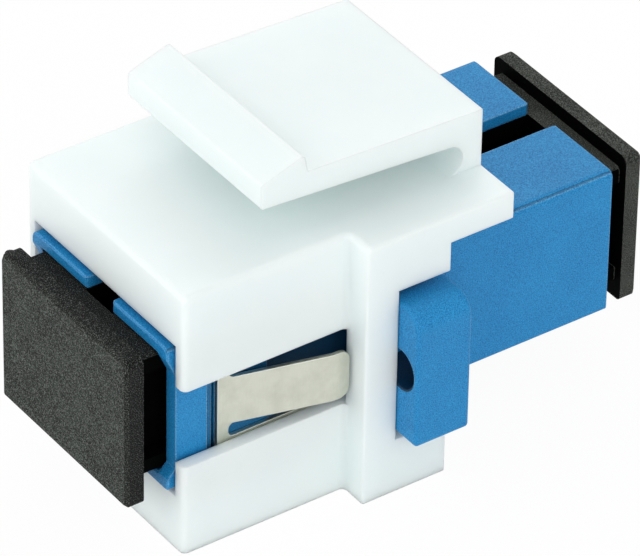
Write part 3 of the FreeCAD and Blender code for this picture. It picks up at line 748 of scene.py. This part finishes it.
@dataclass
class SpringClip:
    """The steel clip whose tongues press on a panel.

    Attributes:
        node: the clip's node.
        finish: the strip that it is blanked from.
    """

    node: str = "spring_clip"
    finish: SpringSteel = SPRING_STEEL

    def build(self) -> None:
        """Dress the clip."""
        dress(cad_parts[self.node], self.finish)
        LOG.info("clip: %s in %s", self.node, self.finish.name)


@dataclass
class DustCap:
    """One dust cap, with the stub where its mould was filled.

    Attributes:
        node: the cap's node.
        body: the body that it moves with.
        outward: -1 where the cap's plate faces -Y, +1 where it faces +Y.
        finish: what it is moulded from.
        has_stub: whether the mould's gate left a stub at the plate's upper corner.
        stub_size: half the stub's width, depth and height.
        stub_inset: from the plate's side and top edges to the stub's middle.
        stub_facets: divisions round the stub and from pole to pole.
    """

    node: str
    body: str
    outward: int
    finish: ErodedPolyethylene = FRONT_PE
    has_stub: bool = False
    stub_size: Vector = field(default_factory=lambda: Vector((1.25, 0.5, 0.36)) * MM)
    stub_inset: tuple[float, float] = (1.15 * MM, 0.26 * MM)
    stub_facets: tuple[int, int] = (32, 20)

    def build(self) -> None:
        """Dress the cap and add its stub."""
        dress(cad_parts[self.node], self.finish)
        LOG.info("cap: %s in %s", self.node, self.finish.name)
        if self.has_stub:
            stub = self.mould_stub()
            dress(stub, self.finish)
            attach(stub, self.body)
            LOG.info("cap: %s on %s", stub.name, self.node)

    def mould_stub(self) -> bpy.types.Object:
        """Make the stub: a low lens on the plate's outer upper corner.

        Returns:
            The stub's object.
        """
        low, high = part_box(self.node)
        face = low[1] if self.outward < 0 else high[1]
        side, drop = self.stub_inset
        middle = Vector((low[0] + side, face - self.outward * self.stub_size.y, high[2] - drop))
        around, tall = self.stub_facets
        shape = bmesh.new()
        bmesh.ops.create_uvsphere(shape, u_segments=around, v_segments=tall, radius=1.0)
        for vertex in shape.verts:
            # the unit ball takes the stub's size, and its outermost point lies flush with the plate
            vertex.co = Vector((vertex.co[i] * self.stub_size[i] for i in range(3))) + middle
        for facet in shape.faces:
            facet.smooth = True
        mesh = bpy.data.meshes.new("gate_stub")
        shape.to_mesh(mesh)
        shape.free()
        stub = bpy.data.objects.new("gate_stub", mesh)
        bpy.context.scene.collection.objects.link(stub)
        return stub


def stand_off(middle: Vector, azimuth: float, elevation: float, distance: float) -> Matrix:
    """Place a camera or a lamp so that it looks at a point.

    Args:
        middle: the point.
        azimuth: degrees from -Y towards +X.
        elevation: degrees above the floor.
        distance: how far from the point it stands.

    Returns:
        Its place and direction.
    """
    turn, tilt = math.radians(azimuth), math.radians(elevation)
    outward = Vector((math.sin(turn) * math.cos(tilt), -math.cos(turn) * math.cos(tilt), math.sin(tilt)))
    return (Matrix.Translation(middle + outward * distance)
            @ outward.to_track_quat("Z", "Y").to_matrix().to_4x4())


@dataclass
class ViewCamera:
    """The camera, a long lens that looks down on the part from its right front.

    Attributes:
        azimuth: degrees from -Y towards +X.
        elevation: degrees above the floor.
        roll: degrees that the camera is turned about its own axis.
        distance: metres from the aim point.
        lens_mm: focal length.
        sensor_mm: width of the sensor.
        nearest: how near to the camera a thing can stand and still show.
        aim: the point in the middle of the view.
    """

    azimuth: float = 54.47
    elevation: float = 36.39
    roll: float = 1.05
    distance: float = 0.3563
    lens_mm: float = 374.3
    sensor_mm: float = 36.0
    nearest: float = 0.01
    aim: Vector = field(default_factory=lambda: Vector((0.0, -0.22, 7.9)) * MM)

    def build(self) -> None:
        """Add the camera and make it the scene's."""
        data = bpy.data.cameras.new("view")
        data.lens = self.lens_mm
        data.sensor_width = self.sensor_mm
        data.clip_start = self.nearest
        camera = bpy.data.objects.new("view", data)
        bpy.context.scene.collection.objects.link(camera)
        camera.matrix_world = (stand_off(self.aim, self.azimuth, self.elevation, self.distance)
                               @ Matrix.Rotation(math.radians(self.roll), 4, "Z"))
        bpy.context.scene.camera = camera


@dataclass
class Studio:
    """A white table under soft light.

    Attributes:
        ambient_high: how brightly the white room lights the part from straight above.
        ambient_low: the same from the height of the table.
        lamps: name, direction (azimuth, elevation), size in metres and power in watts of each lamp.
        lamp_distance: metres from the part to each lamp.
        floor_half: half the side of the table.
        paper: hex colour of the table.
        shadow_share: how much of the table's shading the camera sees.
    """

    ambient_high: float = 0.66
    ambient_low: float = 0.58
    lamps: tuple[tuple[str, float, float, float, float], ...] = (
        ("overhead", 20.0, 78.0, 0.6, 0.3),
        ("front_right", 68.0, 28.0, 0.5, 1.25),
        ("front_left", -18.0, 26.0, 0.5, 1.2),
        ("behind", 234.0, 36.0, 0.45, 0.8),
    )
    lamp_distance: float = 0.7
    floor_half: float = 3.0
    paper: str = "#FFFFFF"
    shadow_share: float = 0.05

    def build(self) -> None:
        """Make the room, the lamps and the table."""
        self.light_room()
        for lamp in self.lamps:
            self.hang(*lamp)
        self.lay_floor()

    def light_room(self) -> None:
        """Fill the room with even light, seen as plain white by the camera and in reflections."""
        world = bpy.data.worlds.new("room")
        world.use_nodes = True
        bpy.context.scene.world = world
        tree = world.node_tree
        tree.nodes.clear()
        path = add_node(tree, "ShaderNodeLightPath")
        glossy = add_node(tree, "ShaderNodeMath", {
            0: path.outputs["Is Camera Ray"], 1: path.outputs["Is Glossy Ray"]}, operation="MAXIMUM")
        seen = add_node(tree, "ShaderNodeMath", {
            0: glossy.outputs[0], 1: path.outputs["Is Transmission Ray"]}, operation="MAXIMUM")
        direction = add_node(tree, "ShaderNodeTexCoord").outputs["Generated"]
        upward = add_node(tree, "ShaderNodeSeparateXYZ", {0: direction})
        level = add_node(tree, "ShaderNodeMapRange", {
            "Value": upward.outputs["Z"], "To Min": self.ambient_low, "To Max": self.ambient_high})
        lit = add_node(tree, "ShaderNodeBackground", {"Color": WHITE, "Strength": level.outputs[0]})
        plain = add_node(tree, "ShaderNodeBackground", {"Color": WHITE, "Strength": 1.0})
        mixed = add_node(tree, "ShaderNodeMixShader", {
            0: seen.outputs[0], 1: lit.outputs[0], 2: plain.outputs[0]})
        add_node(tree, "ShaderNodeOutputWorld", {"Surface": mixed.outputs[0]})

    def hang(self, name: str, azimuth: float, elevation: float, size: float, power: float) -> None:
        """Hang one soft square lamp that faces the part.

        Args:
            name: the lamp's name.
            azimuth: degrees from -Y towards +X.
            elevation: degrees above the floor.
            size: side of the lamp in metres.
            power: its power in watts.
        """
        data = bpy.data.lights.new(name, "AREA")
        data.shape = "SQUARE"
        data.size = size
        data.energy = power
        lamp = bpy.data.objects.new(name, data)
        bpy.context.scene.collection.objects.link(lamp)
        middle = (CAD_BOX[0] + CAD_BOX[1]) / 2
        lamp.matrix_world = stand_off(middle, azimuth, elevation, self.lamp_distance)

    def lay_floor(self) -> None:
        """Lay the white table that the part stands on."""
        half = self.floor_half
        corners = [(-half, -half, 0), (half, -half, 0), (half, half, 0), (-half, half, 0)]
        mesh = bpy.data.meshes.new("table")
        mesh.from_pydata(corners, [], [(0, 1, 2, 3)])
        table = bpy.data.objects.new("table", mesh)
        table.location.z = CAD_BOX[0].z
        bpy.context.scene.collection.objects.link(table)
        material, tree = start_material("paper_white_sweep")
        path = add_node(tree, "ShaderNodeLightPath")
        seen = add_node(tree, "ShaderNodeMath", {
            0: path.outputs["Is Camera Ray"], 1: path.outputs["Is Glossy Ray"]}, operation="MAXIMUM")
        share = add_node(tree, "ShaderNodeMath", {0: seen.outputs[0], 1: 1.0 - self.shadow_share},
                         operation="MULTIPLY")
        paper = add_node(tree, "ShaderNodeBsdfDiffuse", {"Color": linear(self.paper)})
        white = add_node(tree, "ShaderNodeEmission", {"Color": WHITE, "Strength": 1.0})
        mixed = add_node(tree, "ShaderNodeMixShader", {
            0: share.outputs[0], 1: paper.outputs[0], 2: white.outputs[0]})
        add_node(tree, "ShaderNodeOutputMaterial", {"Surface": mixed.outputs[0]})
        mesh.materials.append(material)


def main() -> None:
    """Set up the view and the studio, then build each sub-assembly in order."""
    logging.basicConfig(level=logging.INFO, format="%(name)s: %(message)s")
    bpy.context.scene.view_settings.view_transform = "Standard"
    ViewCamera().build()
    Studio().build()
    KeystoneInsert().build()
    FibreAdapter().build()
    SpringClip().build()
    DustCap("front_dust_cap", "front_cap", outward=-1, has_stub=True).build()
    DustCap("rear_dust_cap", "rear_cap", outward=1, finish=REAR_PE).build()


if __name__ == "__main__":
    main()
